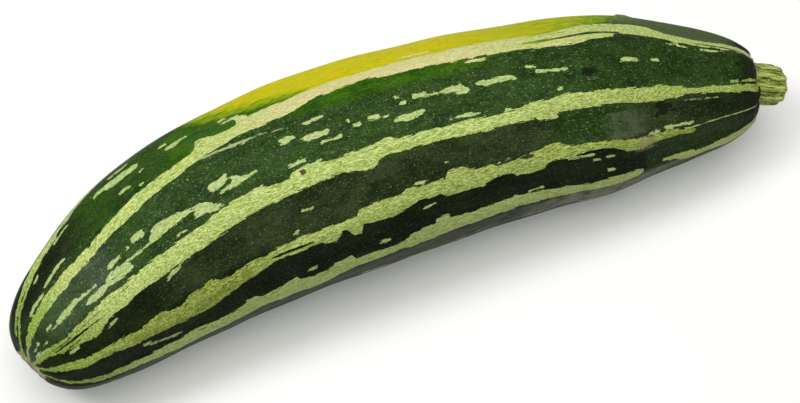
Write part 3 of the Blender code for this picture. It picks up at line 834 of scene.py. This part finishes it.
def paint_fruit(fruit, skin, degrees, radius):
    """Stores where the stripes, the yellow patch, the scar and the blemishes lie, and where shade round the
    stem and the floor's reflection along the lower edge are painted.
    """
    mm_per_degree = np.maximum(radius, LEAST_PAINT_RADIUS) * math.radians(1)

    def depth(rows):
        return band_depth(rows, skin, degrees, mm_per_degree)

    def deepest(bands, least):
        """How deep each point lies in the bands, in mm, and never under the least."""
        found = np.full(len(skin), least)
        for rows in bands:
            found = np.maximum(found, depth(rows))
        return found

    def spots(places, lengthwise):
        """How deep each point lies in spots given by distance, angle and size, in mm."""
        found = np.full(len(skin), FAR_FROM_MARKS)
        for at, angle, size in places:
            away = np.hypot((skin - at) * lengthwise, (turned - angle) * mm_per_degree)
            found = np.maximum(found, size - away)
        return found

    def sector(low, high, soft_degrees):
        """1 between two angles round the fruit, falling off softly outside them."""
        middle = (low + high) / 2
        return hill(half_turn(degrees - middle), low - middle, high - middle, soft_degrees)

    def strongest(patches):
        """The strongest patch at each point."""
        found = np.zeros(len(skin))
        for first, last, soft, low, high, soft_degrees, strength in patches:
            here = hill(skin, first, last, soft) * sector(low, high, soft_degrees)
            found = np.maximum(found, here * strength)
        return found

    def profile(pairs):
        """A value along the skin, from pairs of distance and value."""
        return np.interp(skin, *np.array(pairs, float).T)

    turned = half_turn(degrees)
    more_stripes, more_dashes = hidden_bands()
    stripes = deepest(STRIPES + tuple(more_stripes), FAR_FROM_STRIPES)
    lone = deepest(DASHES + tuple(more_dashes), FAR_FROM_STRIPES)
    store(fruit, "dash", np.clip((lone - stripes) / DASH_BLEND + 0.5, 0, 1))
    store(fruit, "pale", np.maximum(stripes, lone))
    store(fruit, "slit", deepest(SLITS, FAR_FROM_MARKS))
    store(fruit, "scratch", deepest(SCRATCHES, FAR_FROM_MARKS))
    store(fruit, "brown", spots(BROWN_SPOTS, 1.0))
    store(fruit, "pit", spots(DARK_PITS, PIT_STRETCH))
    for name, patches in PATCHES.items():
        store(fruit, name, strongest(patches))

    above = np.clip((profile(YELLOW_EDGE) - turned) / YELLOW_SOFTNESS + 0.5, 0, 1)
    below = np.clip((turned + YELLOW_BELOW) / YELLOW_BELOW, 0, 1)
    store(fruit, "yellow", above * below * profile(YELLOW_STRENGTH))
    store(fruit, "ripe", profile(RIPENESS))
    store(fruit, "cream", profile(CREAM_STRENGTH) * hill(turned, *CREAM_SIDE))
    side_olive = strongest(OLIVE_SIDE) * profile(OLIVE_SIDE_STRENGTH)
    top_olive = strongest(OLIVE_TOP) * profile(OLIVE_TOP_STRENGTH)
    store(fruit, "olive", np.maximum(np.maximum(side_olive, top_olive), strongest(OLIVE_END)))
    store(fruit, "scar", hill(skin - SCAR_STRETCH * sector(*SCAR_STRETCH_SIDE), *SCAR_PLACE))
    angle = np.radians(degrees)
    spoke = [SPOKE_RADIUS * np.cos(angle), SPOKE_RADIUS * np.sin(angle), SPOKE_RUN * skin]
    store(fruit, "spoke", np.stack(spoke, 1))


def make_stem():
    """The short ridged stem with its slantwise cut."""
    wall_rings = [(place, float(np.interp(place, *np.array(STEM_OUTLINE).T))) for place in STEM_RING_HEIGHTS]
    stem = extruded_rings("stem_stub", [STEM_FOOT_RING] + wall_rings + STEM_CUT_RINGS, STEM_SIDES)
    smoothed(stem, 2)
    straight = points_of(stem) / MM
    height = straight[:, 2].copy()
    radius = np.hypot(straight[:, 0], straight[:, 1])
    angle = np.arctan2(straight[:, 1], straight[:, 0])
    top = STEM_OUTLINE[-1][0]
    edge = STEM_OUTLINE[1][1]
    wall = np.clip((radius - STEM_WALL_RADIUS) / STEM_WALL_SOFTNESS, 0, 1)
    ridged = np.clip((height - STEM_RIB_START) / (STEM_RIB_FULL - STEM_RIB_START), 0, 1)
    groove = np.abs(np.sin(STEM_RIBS * angle / 2 + 0.35)) ** STEM_RIB_SHARPNESS
    fine = 0.5 + 0.5 * np.sin(STEM_FINE_RIDGES * angle + 0.8 * np.sin(height * 0.7))
    lowered = STEM_RIB_DEPTH * groove + STEM_FINE_RIDGE_DEPTH * (1 - fine)
    lowered = ridged * lowered * np.clip(radius / edge, 0, 1)
    store(stem, "ridge", (1 - groove) * wall)
    store(stem, "furrow", fine * wall)
    store(stem, "grown", np.stack([radius * np.cos(angle), radius * np.sin(angle), height], 1))
    on_cut = np.clip((height - top + STEM_CUT_DEPTH) / STEM_CUT_SOFTNESS, 0, 1)
    within = np.clip((edge - STEM_CUT_MARGIN - radius) / STEM_CUT_SOFTNESS, 0, 1)
    store(stem, "cut", on_cut * within)
    near_top = np.clip((height - top + STEM_RIM_DEPTH) / STEM_RIM_SOFTNESS, 0, 1)
    store(stem, "rim", near_top * np.clip(radius - STEM_RIM_RADIUS, 0, 1))
    radius = radius - lowered
    share = np.maximum(height - STEM_RIB_START, 0) / (top - STEM_RIB_START)
    turned = angle + share * STEM_TWIST
    down = radius * np.cos(turned)
    outward = radius * np.sin(turned)
    height = height - share * (down * math.tan(STEM_CUT_DOWN) + outward * math.tan(STEM_CUT_OUTWARD))
    down = down + share * STEM_LEAN[0]
    outward = outward + share * STEM_LEAN[1]
    s, x, y, heading = LINE
    turn = float(np.interp(SOCKET_FLOOR, s, heading))
    ahead = np.array((math.cos(turn), math.sin(turn), 0.0))
    side = np.array((-math.sin(turn), math.cos(turn), 0.0))
    seat = bent(np.array([SOCKET_FLOOR]), np.array([SEAT_SHIFT[0]]), np.array([SEAT_SHIFT[1]]))[0]
    placed = seat + (height[:, None] * ahead + outward[:, None] * side) * MM
    placed[:, 2] -= down * MM
    set_points(stem, placed)
    return stem


class Value:
    """A number or a colour that varies over a surface. Sums on it add Math nodes."""

    def __init__(self, tree, socket):
        self.tree = tree
        self.socket = socket

    def math(self, operation, first, second=0.0):
        node = self.tree.nodes.new("ShaderNodeMath")
        node.operation = operation
        for slot, value in zip(node.inputs, (first, second)):
            if isinstance(value, Value):
                self.tree.links.new(value.socket, slot)
            else:
                slot.default_value = value
        return Value(self.tree, node.outputs[0])

    def __add__(self, other):
        return self.math("ADD", self, other)

    def __radd__(self, other):
        return self.math("ADD", other, self)

    def __sub__(self, other):
        return self.math("SUBTRACT", self, other)

    def __rsub__(self, other):
        return self.math("SUBTRACT", other, self)

    def __mul__(self, other):
        return self.math("MULTIPLY", self, other)

    def larger(self, other):
        return self.math("MAXIMUM", self, other)


class Finish:
    """A material built up node by node."""

    def __init__(self, name):
        self.material = bpy.data.materials.new(name)
        self.material.use_nodes = True
        self.tree = self.material.node_tree
        self.shader = self.tree.nodes["Principled BSDF"]

    def node(self, kind, settings, sockets, output):
        """Adds a node, sets it, fills its sockets with values or links, and gives one of its outputs."""
        node = self.tree.nodes.new(kind)
        for name, value in settings.items():
            setattr(node, name, value)
        for name, value in sockets.items():
            slot = next(s for s in node.inputs if name in (s.identifier, s.name) and s.enabled)
            self.fill(slot, value)
        found = next(s for s in node.outputs if output in (s.identifier, s.name) and s.enabled)
        return Value(self.tree, found)

    def fill(self, slot, value):
        if isinstance(value, Value):
            self.tree.links.new(value.socket, slot)
        else:
            slot.default_value = value

    def kept(self, name, output="Fac"):
        """What was stored per point under a name."""
        return self.node("ShaderNodeAttribute", {"attribute_name": name}, {}, output)

    def scaled(self, vector, by):
        sockets = {"Vector": vector, "Vector_001": by}
        return self.node("ShaderNodeVectorMath", {"operation": "MULTIPLY"}, sockets, "Vector")

    def noise(self, vector, scale, detail=2.0, roughness=0.5):
        sockets = {"Vector": vector, "Scale": scale, "Detail": detail, "Roughness": roughness}
        return self.node("ShaderNodeTexNoise", {}, sockets, "Fac")

    def cells(self, vector, scale, distance="EUCLIDEAN", output="Distance"):
        sockets = {"Vector": vector, "Scale": scale, "Randomness": 1.0}
        return self.node("ShaderNodeTexVoronoi", {"distance": distance}, sockets, output)

    def cell_value(self, vector, scale, distance="CHEBYCHEV"):
        """One random number for each cell."""
        colour = self.cells(vector, scale, distance, "Color")
        return self.node("ShaderNodeSeparateColor", {}, {"Color": colour}, "Red")

    def step(self, value, low, high):
        """Rises smoothly from 0 at low to 1 at high."""
        sockets = {"Value": value, "From Min": low, "From Max": high}
        return self.node("ShaderNodeMapRange", {"interpolation_type": "SMOOTHSTEP"}, sockets, "Result")

    def mix(self, factor, first, second):
        """Goes from the first colour to the second."""
        sockets = {"Factor_Float": factor, "A_Color": first, "B_Color": second}
        return self.node("ShaderNodeMix", {"data_type": "RGBA"}, sockets, "Result_Color")

    def tint(self, base, amount, red, green, blue):
        """The base, taken by an amount towards a colour as it looks on a screen."""
        return self.mix(amount, base, colour(red, green, blue))

    def wear(self, sockets):
        for name, value in sockets.items():
            self.fill(self.shader.inputs[name], value)
        return self.material


def colour(red, green, blue):
    """A colour as it looks on a screen, 0 to 255, turned to what the shader takes."""
    linear = []
    for part in (red, green, blue):
        share = part / 255
        linear.append(share / 12.92 if share <= 0.04045 else ((share + 0.055) / 1.055) ** 2.4)
    return (*linear, 1.0)


def zucchini_skin():
    """Dark green skin with stepped pale stripes, a yellow patch and the marks of a grown thing, with painted
    shade round the stem and a painted reflection of the floor along the lower edge.
    """
    f = Finish("zucchini_skin")
    grown = f.kept("grown", "Vector")
    lengthwise = f.scaled(grown, (1.0, 1.0, 0.3))
    drawn_out = f.scaled(grown, (1.0, 1.0, 0.1))
    half_drawn = f.scaled(grown, (1.0, 1.0, 0.55))
    steps = f.cell_value(lengthwise, 0.8) - 0.5
    ragged = f.noise(lengthwise, 1.1, 2.0, 0.6) - 0.5
    chips = f.cell_value(lengthwise, 1.5) - 0.5
    loose = 1 - f.kept("dash") * 0.5
    pale_depth = f.kept("pale") + (steps * 0.8 + ragged) * loose + chips * f.kept("dash") * 0.6 + 0.1
    pale = f.step(pale_depth, -0.08, 0.08) * f.step(f.kept("slit") + ragged * 0.8, 0.12, -0.12)

    blotches = f.noise(half_drawn, 0.09, 3.0, 0.55)
    patches = f.noise(half_drawn, 0.34, 2.0, 0.5)
    grain = f.noise(half_drawn, 2.3, 3.0, 0.65)
    fibres = f.noise(lengthwise, 3.3, 3.0, 0.65)
    streaks = f.noise(drawn_out, 2.2, 3.0, 0.55)
    threads = f.noise(drawn_out, 3.8, 3.0, 0.6)
    fibre_grain = fibres * 0.5 + grain * 0.5

    clouds = f.step(blotches, 0.35, 0.65)
    leaf_green = f.mix(clouds, colour(34, 58, 18), colour(48, 74, 26))
    bright_green = f.mix(clouds, colour(40, 84, 2), colour(60, 102, 4))
    dull_green = f.mix(clouds, colour(32, 42, 20), colour(54, 66, 36))
    black_green = f.mix(clouds, colour(12, 18, 6), colour(26, 36, 14))
    dark = f.mix(f.kept("dull"), leaf_green, dull_green)
    # Towards black green where deep lies; round the stem this is painted shade, where the lobes turn in to
    # it.
    dark = f.mix(f.kept("deep"), dark, black_green)
    slow = f.noise(half_drawn, 0.14, 2.0, 0.5)
    dark = f.tint(dark, f.step(slow, 0.5, 0.66) * 0.35 * (1 - f.kept("deep")), 46, 62, 42)
    vivid = f.step(f.kept("vivid") + (grain - 0.5) * 0.9 + (streaks - 0.5) * 0.6, 0.1, 0.9)
    dark = f.mix(vivid, dark, bright_green)
    lighter = f.tint(dark, 0.6, 96, 122, 70)
    darker = f.tint(dark, 0.6, 8, 14, 4)
    calm = (1 - f.kept("deep") * 0.75) * (1 - f.kept("dull") * 0.4) * (1 - f.kept("fresh") * 0.6)
    dark = f.mix(f.step(grain, 0.48, 0.62) * 0.45 * calm, dark, lighter)
    dark = f.mix(f.step(grain, 0.5, 0.36) * 0.7, dark, darker)
    dark = f.mix(f.step(patches, 0.48, 0.66) * 0.5, dark, darker)
    dark = f.mix(f.step(streaks, 0.55, 0.75) * 0.5, dark, darker)
    dark = f.tint(dark, f.step(streaks, 0.38, 0.3) * 0.35 * calm, 112, 130, 92)

    fleck_size = f.step(f.cells(half_drawn, 0.9), 0.24, 0.12)
    fleck_choice = f.step(f.cell_value(half_drawn, 0.9, "EUCLIDEAN"), 0.5, 0.8)
    speck_size = f.step(f.cells(half_drawn, 1.8), 0.36, 0.16)
    speck_choice = f.step(f.cell_value(half_drawn, 1.8, "EUCLIDEAN"), 0.45, 0.95)
    flecks = (fleck_size * fleck_choice * 0.75).larger(speck_size * speck_choice * 0.7)
    flecks = flecks * calm * (1 - vivid * 0.6)
    dark = f.tint(dark, flecks, 128, 154, 100)

    lime = f.mix(f.step(streaks, 0.4, 0.6), colour(92, 136, 0), colour(146, 166, 2))
    yellow = f.mix(f.kept("ripe"), colour(154, 170, 14), colour(200, 192, 0))
    yellow = f.tint(yellow, f.step(fibre_grain, 0.46, 0.6) * 0.6, 158, 166, 0)
    yellow = f.tint(yellow, f.step(streaks, 0.5, 0.62) * 0.6, 222, 192, 0)
    yellow = f.tint(yellow, f.step(streaks, 0.45, 0.36) * 0.6, 150, 162, 0)
    yellow = f.tint(yellow, flecks * 0.5, 222, 218, 110)
    ripeness = f.kept("yellow") + (grain - 0.5) * 0.45 + (streaks - 0.5) * 0.6 + (blotches - 0.5) * 0.7
    ripeness = ripeness * f.step(f.kept("yellow"), 0.0, 0.08)
    ground = f.mix(f.step(ripeness, 0.0, 0.2), dark, bright_green)
    ground = f.mix(f.step(ripeness, 0.14, 0.4), ground, lime)
    ground = f.mix(f.step(ripeness, 0.5, 0.85), ground, yellow)
    ground = f.tint(ground, f.kept("greying") * 0.55, 88, 98, 64)
    # Painted reflection: the lower edge greyed in streaks, with paler flecks, as the pale floor shows in it.
    painted_floor_reflection = f.kept("lower") * f.step(patches * 0.45 + streaks * 0.55, 0.36, 0.56)
    ground = f.tint(ground, painted_floor_reflection, 119, 121, 104)
    ground = f.tint(ground, flecks * f.kept("lower") * 0.5, 150, 158, 134)

    fibre = f.step(fibres * 0.35 + threads * 0.4 + grain * 0.25, 0.43, 0.57)
    green_stripe = f.mix(fibre, colour(132, 158, 58), colour(218, 229, 150))
    olive_stripe = f.mix(fibre, colour(74, 96, 12), colour(190, 202, 104))
    olive_stripe = f.tint(olive_stripe, f.step(patches, 0.5, 0.64) * 0.5, 98, 112, 24)
    cream_stripe = f.mix(fibre, colour(190, 188, 118), colour(228, 220, 162))
    cream_stripe = f.tint(cream_stripe, f.step(patches, 0.48, 0.66) * 0.4, 216, 190, 142)
    stripe = f.mix(f.kept("olive"), green_stripe, olive_stripe)
    stripe = f.tint(stripe, f.step(streaks, 0.54, 0.66) * 0.6, 118, 140, 50)
    lone_dash = f.mix(fibre, colour(140, 164, 88), colour(196, 212, 150))
    stripe = f.mix(f.kept("fresh") * 0.6, stripe, f.mix(fibre, colour(96, 134, 30), colour(156, 186, 78)))
    stripe = f.tint(stripe, f.step(streaks, 0.5, 0.6) * f.kept("fresh") * 0.7, 72, 108, 22)
    stripe = f.mix(f.kept("dash") * 0.8, stripe, lone_dash)
    stripe = f.tint(stripe, f.kept("shaded") * 0.3, 100, 108, 78)
    cream_stripe = f.tint(cream_stripe, f.step(streaks, 0.54, 0.7) * 0.35, 176, 152, 100)
    stripe = f.mix(f.kept("cream"), stripe, cream_stripe)

    skin = f.mix(pale, ground, stripe)
    scuff = f.kept("scuff") * f.step(f.noise(grown, 0.25, 4.0, 0.7), 0.25, 0.7)
    skin = f.tint(skin, scuff * 0.6, 98, 106, 80)
    rubbed = f.kept("rubbed") * f.step(f.noise(half_drawn, 1.0, 4.0, 0.7), 0.35, 0.62)
    skin = f.tint(skin, rubbed * 0.6, 158, 150, 112)
    scratched = f.step(f.kept("scratch") + ragged * 0.7, -0.16, 0.05)
    skin = f.tint(skin, scratched * 0.8, 180, 192, 132)
    browned = f.step(f.kept("brown") + ragged * 0.9, -0.15, 0.3)
    skin = f.tint(skin, browned * 0.9, 70, 40, 22)
    pitted = f.step(f.kept("pit") + ragged * 1.4, -0.3, 0.4)
    skin = f.tint(skin, pitted * 0.75, 14, 18, 8)
    spokes = f.noise(f.kept("spoke", "Vector"), 1.5, 3.0, 0.65)
    crumbs = f.noise(grown, 1.8, 4.0, 0.6)
    cork = f.mix(f.step(spokes, 0.38, 0.6), colour(134, 122, 78), colour(200, 192, 148))
    cork = f.tint(cork, f.step(crumbs, 0.5, 0.7) * 0.4, 104, 88, 54)
    cork = f.tint(cork, f.kept("scar_middle") * 0.6, 104, 86, 54)
    ray = f.step(spokes, 0.54, 0.62) * f.kept("rays")
    skin = f.tint(skin, ray * 0.7, 152, 152, 96)
    scarred = f.step(f.kept("scar") + ragged * 0.8, 0.3, 0.7)
    skin = f.mix(scarred, skin, cork)

    waves = f.noise(lengthwise, 0.35, 2.0, 0.5)
    height = grain * 0.8 + waves * 1.2 + flecks * 0.5 - pitted * 0.6 + scarred * grain * 2.0
    bump = f.node("ShaderNodeBump", {}, {"Strength": 0.4, "Distance": 0.00014, "Height": height}, "Normal")
    roughness = 0.44 + grain * 0.1 + scarred * 0.35 + scuff * 0.15
    return f.wear({
        "Base Color": skin,
        "Roughness": roughness,
        "Normal": bump,
        "Coat Weight": f.kept("bloom") * 0.5,
        "Coat Roughness": 0.45,
        "IOR": 1.42,
        "Specular IOR Level": 0.04,
    })


def stem_fibre():
    """Pale ridges and darker furrows of the stem, its cut face and its drying rim."""
    f = Finish("stem_fibre")
    grown = f.kept("grown", "Vector")
    drawn_out = f.scaled(grown, (1.0, 1.0, 0.14))
    fibres = f.noise(drawn_out, 2.2, 3.0, 0.7)
    mottle = f.noise(grown, 1.5, 3.0, 0.7)
    tone = f.kept("ridge") * 0.35 + f.kept("furrow") * 0.3 + (fibres - 0.5) * 1.8 + (mottle - 0.5) * 1.4
    side = f.mix(f.step(tone, -0.05, 0.65), colour(74, 92, 14), colour(192, 204, 114))
    side = f.tint(side, f.step(mottle, 0.46, 0.6) * 0.3, 118, 136, 52)
    side = f.tint(side, f.step(fibres, 0.46, 0.36) * 0.85, 42, 58, 6)
    pith = f.noise(grown, 1.4, 4.0, 0.6)
    cut_face = f.mix(f.step(pith, 0.35, 0.65), colour(192, 194, 136), colour(168, 170, 104))
    surface = f.mix(f.kept("cut"), side, cut_face)
    surface = f.tint(surface, f.kept("rim") * f.step(mottle, 0.35, 0.55) * 0.7, 156, 124, 84)
    height = fibres * 1.2 + f.noise(grown, 2.0, 3.0, 0.6) * 0.6
    bump = f.node("ShaderNodeBump", {}, {"Strength": 0.6, "Distance": 0.0002, "Height": height}, "Normal")
    return f.wear({
        "Base Color": surface,
        "Roughness": 0.55 + fibres * 0.15,
        "Normal": bump,
        "IOR": 1.4,
        "Specular IOR Level": 0.15,
    })


def studio():
    """A pale floor, soft lights and the camera at the photograph's angle."""
    deselect()
    bpy.ops.mesh.primitive_plane_add(size=FLOOR_SIZE, location=(0, 0, 0))
    floor = bpy.context.object
    floor.name = "floor"
    paint = Finish("floor_paint")
    floor.data.materials.append(paint.wear({
        "Base Color": (0.84, 0.84, 0.83, 1.0),
        "Roughness": 0.8,
        "Emission Color": (1.0, 1.0, 1.0, 1.0),
        "Emission Strength": FLOOR_GLOW,
    }))
    for name, place, width, power, tint in LAMPS:
        lamp = bpy.data.lights.new(name, "AREA")
        lamp.shape = "DISK"
        lamp.size = width
        lamp.energy = power
        lamp.color = tint
        holder = bpy.data.objects.new(name, lamp)
        bpy.context.scene.collection.objects.link(holder)
        holder.location = place
        holder.rotation_euler = (Vector(LAMP_TARGET) - Vector(place)).to_track_quat("-Z", "Y").to_euler()
    world = bpy.data.worlds.new("soft_room")
    world.use_nodes = True
    world.node_tree.nodes["Background"].inputs["Color"].default_value = ROOM_COLOUR
    world.node_tree.nodes["Background"].inputs["Strength"].default_value = ROOM_STRENGTH
    bpy.context.scene.world = world
    bpy.context.scene.view_settings.view_transform = "Standard"
    back = Vector((
        math.sin(CAMERA_AZIMUTH) * math.cos(CAMERA_ELEVATION),
        -math.cos(CAMERA_AZIMUTH) * math.cos(CAMERA_ELEVATION),
        math.sin(CAMERA_ELEVATION),
    ))
    eye = bpy.data.cameras.new("camera")
    eye.lens = CAMERA_LENS
    eye.sensor_width = 36.0
    camera = bpy.data.objects.new("camera", eye)
    bpy.context.scene.collection.objects.link(camera)
    right = Vector((math.cos(CAMERA_AZIMUTH), math.sin(CAMERA_AZIMUTH), 0.0))
    above = back.cross(right)
    camera.matrix_world = Matrix.LocRotScale(
        CAMERA_TARGET + back * CAMERA_DISTANCE,
        Matrix((right, above, back)).transposed(),
        None,
    )
    bpy.context.scene.camera = camera


studio()
fruit = make_fruit()
fruit.data.materials.append(zucchini_skin())
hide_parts("fruit")
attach(fruit, "root")
stem = make_stem()
stem.data.materials.append(stem_fibre())
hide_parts("stem")
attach(stem, "root")
